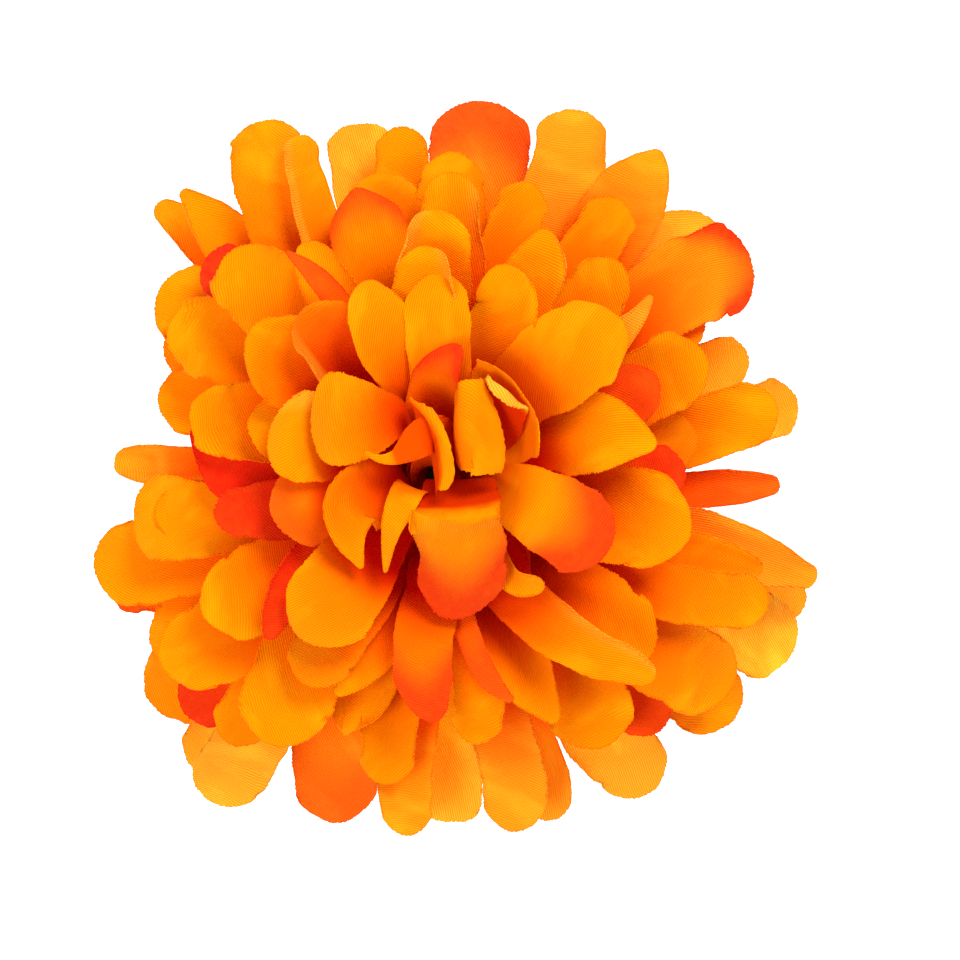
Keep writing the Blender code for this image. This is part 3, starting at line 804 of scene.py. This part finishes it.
def dye_and_light_at(blade, spot, along, across, at_edge):
    """The dye and the painted light of a spot: how red, how pale, whether it is a cut edge, and how much
    painted light it gets, with painted shade and painted highlights.
    """
    petal = blade.petal
    drifted = along + DYE_DRIFT * across ** 2
    red = petal.red * ramp(drifted, petal.red_from, DYE_FULL_AT + DYE_FULL_LATER * petal.red_from)
    # Painted shade on the inside of a petal that bends over, light beyond the bend, then painted shade
    # again.
    if petal.dark:
        painted_light = petal.tone + DARK_TONE
        painted_light += DARK_TO_LIGHT * ramp(along, petal.dark - DARK_FADES, petal.dark + DARK_FADES)
        shade_from, shade_to = SHADE_GROWS
        painted_light -= petal.shade * ramp(along, petal.dark + shade_from, petal.dark + shade_to)
    else:
        painted_light = along + blade.tone
        # A painted highlight along the rims.
        painted_light += RIM_HIGHLIGHT * abs(across) ** RIM_POWER * ramp(along, *RIM_HIGHLIGHT_GROWS)
    # Painted shade near the axis on the lower rounds.
    if blade.surface.index < SHADED_ROUNDS:
        painted_light -= SHADED_BY * (1 - ramp(spot.xy.length, *SHADE_CLEARS))
    # Turned-up edges get a painted highlight: paler and fully lit.
    turned = min(1.0, (petal.left if across > 0 else petal.right) / FULLY_TURNED)
    turned *= ramp(abs(across), *TURNED_ACROSS) * ramp(along, *TURNED_ALONG)
    return red, max(petal.pale, TURNED_HIGHLIGHT * turned), float(at_edge), max(painted_light, turned)


def cloth_layers(shape):
    """The mesh's layers for the place in the flat cloth and for the dye and the painted light."""
    return shape.loops.layers.uv.new("cloth"), shape.verts.layers.float_color.new("dye_and_light")


def petal_mesh(blade, grain, free):
    """One petal of a round, as an open sheet with its dye, its painted light and its place in the flat
    cloth.
    """
    shape = bmesh.new()
    bmesh.ops.create_grid(shape, x_segments=ROWS, y_segments=COLUMNS, size=HALF_GRID)
    cut_edges(shape, blade.length, blade.width)
    cloth_map, dye_and_light = cloth_layers(shape)
    cosine = cos(blade.turn - grain)
    sine = sin(blade.turn - grain)
    for vertex in shape.verts:
        along = eased(vertex.co.x + HALF_GRID)
        across = sin(pi * vertex.co.y)
        at_edge = vertex.is_boundary and along > TEETH_FROM
        tooth = free.uniform(0, TOOTH_DEPTH) if at_edge else 0.0
        spot, distance, side = blade.place_at(along, across, tooth)
        distance += blade.surface.radius
        flat = Vector((distance * cosine - side * sine, distance * sine + side * cosine))
        vertex.co = spot
        vertex[dye_and_light] = dye_and_light_at(blade, spot, along, across, at_edge)
        for loop in vertex.link_loops:
            loop[cloth_map].uv = flat * UV_PER_METRE
    return shape


def in_scene(name, data):
    item = bpy.data.objects.new(name, data)
    bpy.context.scene.collection.objects.link(item)
    return item


def to_object(shape, name):
    mesh = bpy.data.meshes.new(name)
    shape.to_mesh(mesh)
    shape.free()
    return in_scene(name, mesh)


def add_to(shape, other):
    """Adds the other mesh to the shape, and frees it."""
    mesh = bpy.data.meshes.new("added")
    other.to_mesh(mesh)
    other.free()
    shape.from_mesh(mesh)
    bpy.data.meshes.remove(mesh)


def hub(surface):
    """The stiffened middle of a round, with the hole that the peg goes through."""
    shape = bmesh.new()
    bmesh.ops.create_circle(shape, segments=HUB_SIDES, radius=surface.radius + HUB_MARGIN)
    bmesh.ops.create_circle(shape, segments=HUB_SIDES, radius=PEG_HOLE_RADIUS)
    bmesh.ops.bridge_loops(shape, edges=shape.edges)
    made = bmesh.ops.extrude_face_region(shape, geom=shape.faces)
    top = [item for item in made["geom"] if isinstance(item, bmesh.types.BMVert)]
    bmesh.ops.translate(shape, verts=top, vec=(0, 0, HUB_THICKNESS))
    bmesh.ops.translate(shape, verts=shape.verts, vec=(0, 0, surface.height - HUB_THICKNESS / 2))
    bmesh.ops.recalc_face_normals(shape, faces=shape.faces)
    cloth_map, dye_and_light = cloth_layers(shape)
    # No dye and no painted light: the hub takes the deep red of painted shade.
    for vertex in shape.verts:
        vertex[dye_and_light] = (0.0, 0.0, 0.0, 0.0)
        for loop in vertex.link_loops:
            loop[cloth_map].uv = vertex.co.xy * UV_PER_METRE
    return shape


def petal_round(index, layer, draw, free, material):
    """One die-cut round of cloth: its petals and its hub, as one piece."""
    surface = Surface(layer, index)
    sheet = bmesh.new()
    for number, petal in enumerate(layer.petals):
        kind = SeenBlade if petal.path or petal.stations else HiddenBlade
        blade = kind(surface, layer, number, draw, free)
        add_to(sheet, petal_mesh(blade, radians(layer.grain), free))
    cloth = to_object(sheet, "cloth")
    solid = cloth.modifiers.new("cloth thickness", "SOLIDIFY")
    solid.thickness = CLOTH
    solid.offset = 0.0
    shape = bmesh.new()
    shape.from_object(cloth, bpy.context.evaluated_depsgraph_get())
    bpy.data.objects.remove(cloth)
    add_to(shape, hub(surface))
    for face in shape.faces:
        face.smooth = True
    piece = to_object(shape, f"cloth_round_{index + 1}")
    piece.data.set_sharp_from_angle(angle=SHARP_FROM)
    piece.data.materials.append(material)
    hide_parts(f"petal_round_{index + 1}")
    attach(piece, "root")
    return piece


class Nodes:
    """A short way to add shader nodes and join them."""

    def __init__(self, name):
        self.material = bpy.data.materials.new(name)
        self.material.use_nodes = True
        self.tree = self.material.node_tree
        self.tree.nodes.clear()

    def add(self, kind, values=(), **settings):
        node = self.tree.nodes.new(kind)
        for name, value in settings.items():
            setattr(node, name, value)
        for socket, value in dict(values).items():
            self.put(node.inputs[socket], value)
        return node

    def put(self, socket, value):
        if isinstance(value, bpy.types.NodeSocket):
            self.tree.links.new(value, socket)
        else:
            socket.default_value = value

    def math(self, operation, first, second=0.0, third=0.0):
        return self.add("ShaderNodeMath", {0: first, 1: second, 2: third}, operation=operation).outputs[0]

    def mix(self, share, first, second):
        values = {"Factor": share, "A": first, "B": second}
        return self.add("ShaderNodeMix", values, data_type="RGBA").outputs["Result"]

    def noise(self, vector, scale, detail=2.0):
        values = {"Vector": vector, "Scale": scale, "Detail": detail}
        return self.add("ShaderNodeTexNoise", values).outputs["Fac"]

    def rising(self, value, start, end):
        """Rises evenly from 0 where the value is start to 1 where it is end."""
        values = {"Value": value, "From Min": start, "From Max": end}
        return self.add("ShaderNodeMapRange", values).outputs["Result"]

    def stripes(self, place, pitch, wobble=0.0):
        """Soft stripes across this axis of the flat cloth, from 0 between them to 1 on them."""
        turns = self.math("MULTIPLY", place, 2 * pi / (pitch * UV_PER_METRE))
        wave = self.math("SINE", self.math("ADD", turns, wobble))
        return self.math("MULTIPLY_ADD", wave, 0.5, 0.5)

    def end(self, shader):
        self.add("ShaderNodeOutputMaterial", {"Surface": shader})
        return self.material


# The colours of the cloth and its dye, and of painted light: deep red and deep orange for painted
# shade, deep orange for the cut edges too, yellow orange for streaks of wear and painted highlight, and
# pale orange for pale cloth and the painted highlight on turned edges.
SHADE_RED = (0.8, 0.004, 0.001, 1)
DEEP_ORANGE = (1.0, 0.10, 0.0, 1)
ORANGE = (1.0, 0.245, 0.0, 1)
LIGHT_ORANGE = (1.0, 0.46, 0.002, 1)
PALE_ORANGE = (1.0, 0.76, 0.06, 1)
YELLOW_ORANGE = (1.0, 0.56, 0.004, 1)
RED = (0.88, 0.006, 0.006, 1)

# The weave: ribs that wander a little, yarns across them, and how deep both are.
RIB_PITCH = 0.32 * MM
RIB_WOBBLE = 1.2
WOBBLE_SCALE = 40.0
YARN_PITCH = 0.27 * MM
YARN_DEPTH = 0.25
WEAVE_DEPTH = 0.06 * MM

# How the colours mix. A pair named for tones is where on the scale of painted light, from the painted
# shade at the root to the lit end, a colour gives way to the next. The other pairs are what a pattern is
# multiplied by and what is added.
RIB_LIGHTS = 0.75
DRIFT_SCALE = 12.0
DRIFT_SHARE = 0.35
ORANGE_SHADE_TONES = (0.45, 0.95)
RED_SHADE_TONES = (0.3, 0.72)
HIGHLIGHT_TONES = (0.6, 0.85)
CUT_EDGE_SHARE = 0.35
STREAK_STRETCH = (2.5, 1, 1)
STREAK_SCALE = 9.0
STREAK_RANGE = (0.5, 0.75)
STREAK_YELLOWS = 0.4
STREAK_PALES = (0.5, 0.75)
RIB_PALES = (0.6, 0.4)
SPECK_SCALE = 90.0
SPECK_DYES = (0.2, 0.85)
FINE_DETAIL = 3.0
LIGHT_THROUGH = (0.2, 0.3)


def cloth_colour(cloth, place, ribs, dye_and_light, tone):
    """Painted shade in deep red at the roots and in the shade, then orange on the ribs, yellower and paler
    in streaks of wear and painted highlight where the painted light is strong, and the red dye over all of
    it."""
    drift = cloth.noise(place, DRIFT_SCALE)
    colour = cloth.mix(cloth.math("MULTIPLY", ribs, RIB_LIGHTS), ORANGE, LIGHT_ORANGE)
    colour = cloth.mix(cloth.math("MULTIPLY", drift, DRIFT_SHARE), colour, ORANGE)
    # Painted shade: deep orange, then deep red, where the painted light is low.
    colour = cloth.mix(cloth.rising(tone, *ORANGE_SHADE_TONES), DEEP_ORANGE, colour)
    colour = cloth.mix(cloth.rising(tone, *RED_SHADE_TONES), SHADE_RED, colour)
    colour = cloth.mix(cloth.math("MULTIPLY", dye_and_light["Blue"], CUT_EDGE_SHARE), colour, DEEP_ORANGE)

    stretched = cloth.add("ShaderNodeVectorMath", {0: place, 1: STREAK_STRETCH}, operation="MULTIPLY")
    streaks = cloth.rising(cloth.noise(stretched.outputs[0], STREAK_SCALE, FINE_DETAIL), *STREAK_RANGE)
    # Where the painted light is strong, streaks of wear and painted highlight and the pale cloth show.
    loose = cloth.rising(tone, *HIGHLIGHT_TONES)
    worn_and_lit = cloth.math("MULTIPLY", streaks, loose)
    colour = cloth.mix(cloth.math("MULTIPLY", worn_and_lit, STREAK_YELLOWS), colour, YELLOW_ORANGE)
    pale = cloth.math("MULTIPLY", dye_and_light["Green"], loose)
    pale = cloth.math("MULTIPLY", pale, cloth.math("MULTIPLY_ADD", streaks, *STREAK_PALES))
    pale = cloth.math("MULTIPLY", pale, cloth.math("MULTIPLY_ADD", ribs, *RIB_PALES))
    colour = cloth.mix(pale, colour, PALE_ORANGE)

    specks = cloth.noise(place, SPECK_SCALE, FINE_DETAIL)
    red = cloth.math("MULTIPLY", dye_and_light["Red"], cloth.math("MULTIPLY_ADD", specks, *SPECK_DYES))
    return cloth.mix(cloth.math("MINIMUM", red, 1.0), colour, RED)


def cloth_material():
    """Ribbed polyester cloth with a soft sheen, that lets a little light through, more where it is pale."""
    cloth = Nodes("orange cloth")
    place = cloth.add("ShaderNodeUVMap", uv_map="cloth").outputs["UV"]
    axes = cloth.add("ShaderNodeSeparateXYZ", {"Vector": place}).outputs
    wobble = cloth.math("MULTIPLY", cloth.noise(place, WOBBLE_SCALE), RIB_WOBBLE)
    ribs = cloth.stripes(axes["X"], RIB_PITCH, wobble)
    weave = cloth.math("MULTIPLY_ADD", cloth.stripes(axes["Y"], YARN_PITCH), YARN_DEPTH, ribs)
    dyed_and_lit = cloth.add("ShaderNodeAttribute", attribute_name="dye_and_light").outputs
    dye_and_light = cloth.add("ShaderNodeSeparateColor", {"Color": dyed_and_lit["Color"]}).outputs
    colour = cloth_colour(cloth, place, ribs, dye_and_light, dyed_and_lit["Alpha"])
    bump = cloth.add("ShaderNodeBump", {"Height": weave, "Strength": 0.8, "Distance": WEAVE_DEPTH})
    normal = bump.outputs["Normal"]
    face = cloth.add("ShaderNodeBsdfPrincipled", {
        "Base Color": colour,
        "Roughness": 0.62,
        "Specular IOR Level": 0.15,
        "Specular Tint": (1.0, 0.45, 0.03, 1),
        "Sheen Weight": 0.06,
        "Sheen Roughness": 0.4,
        "Sheen Tint": (1.0, 0.4, 0.05, 1),
        "Normal": normal,
    })
    through = cloth.add("ShaderNodeBsdfTranslucent", {"Color": colour, "Normal": normal})
    both = cloth.add("ShaderNodeMixShader", {
        0: cloth.math("MULTIPLY_ADD", dye_and_light["Green"], *LIGHT_THROUGH),
        1: face.outputs["BSDF"],
        2: through.outputs["BSDF"],
    })
    return cloth.end(both.outputs["Shader"])


# The plastic of the calyx: its two greens, the size of their patches, and its grain.
DARK_GREEN = (0.012, 0.045, 0.006, 1)
LEAF_GREEN = (0.03, 0.085, 0.014, 1)
GREEN_DRIFT_SCALE = 180.0
GRAIN_SCALE = 2500.0
GRAIN_DEPTH = 0.05 * MM


def plastic_material():
    """Moulded leaf green plastic, a little uneven."""
    plastic = Nodes("green plastic")
    place = plastic.add("ShaderNodeTexCoord").outputs["Object"]
    drift = plastic.noise(place, GREEN_DRIFT_SCALE, FINE_DETAIL)
    grain = plastic.noise(place, GRAIN_SCALE)
    bump = plastic.add("ShaderNodeBump", {"Height": grain, "Strength": 0.3, "Distance": GRAIN_DEPTH})
    face = plastic.add("ShaderNodeBsdfPrincipled", {
        "Base Color": plastic.mix(drift, DARK_GREEN, LEAF_GREEN),
        "Roughness": 0.75,
        "Normal": bump.outputs["Normal"],
    })
    return plastic.end(face.outputs["BSDF"])


# The floor and the lights, in metres and watts.
HALF_FLOOR = 2.0
LIGHTS_AIM = Vector((0, 0, 20 * MM))


def plain_floor():
    """A white floor, bright enough to show as white."""
    white = Nodes("white floor")
    face = white.add("ShaderNodeBsdfPrincipled", {
        "Base Color": (0.3, 0.3, 0.3, 1),
        "Roughness": 0.9,
        "Emission Color": (1, 1, 1, 1),
        "Emission Strength": 1.5,
    })
    shape = bmesh.new()
    bmesh.ops.create_grid(shape, x_segments=1, y_segments=1, size=HALF_FLOOR)
    floor = to_object(shape, "floor")
    floor.data.materials.append(white.end(face.outputs["BSDF"]))


def area_light(name, place, size, power, colour):
    """A round lamp at this place, aimed at the bloom."""
    light = bpy.data.lights.new(name, "AREA")
    light.shape = "DISK"
    light.size = size
    light.energy = power
    light.color = colour
    item = in_scene(name, light)
    item.location = place
    item.rotation_euler = (LIGHTS_AIM - Vector(place)).to_track_quat("-Z", "Y").to_euler()


def studio():
    """Soft light from above, stronger from the upper right, and an even white surrounding."""
    world = bpy.data.worlds.new("studio")
    world.use_nodes = True
    back = world.node_tree.nodes["Background"]
    back.inputs["Color"].default_value = (1, 1, 1, 1)
    back.inputs["Strength"].default_value = 0.5
    bpy.context.scene.world = world
    area_light("key", place=(0.3, 0.5, 0.8), size=0.4, power=8.5, colour=(1, 0.98, 0.95))
    area_light("fill", place=(-0.45, -0.3, 0.75), size=0.5, power=5.5, colour=(1, 1, 1))
    bpy.context.scene.view_settings.view_transform = "Standard"


def camera():
    """A long lens straight above the bloom."""
    lens = bpy.data.cameras.new("camera")
    lens.lens = lens.sensor_width * CAMERA_DISTANCE / VIEW_WIDTH
    item = in_scene("camera", lens)
    item.location = VIEW_MIDDLE + Vector((0, 0, CAMERA_DISTANCE))
    bpy.context.scene.camera = item


def main():
    cloth = cloth_material()
    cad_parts["calyx"].data.materials.clear()
    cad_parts["calyx"].data.materials.append(plastic_material())
    draw = random.Random(UNEVEN_SEED)
    free = random.Random(WAVE_SEED)
    for index, layer in enumerate(ROUNDS):
        petal_round(index, layer, draw, free, cloth)
    plain_floor()
    studio()
    camera()


main()
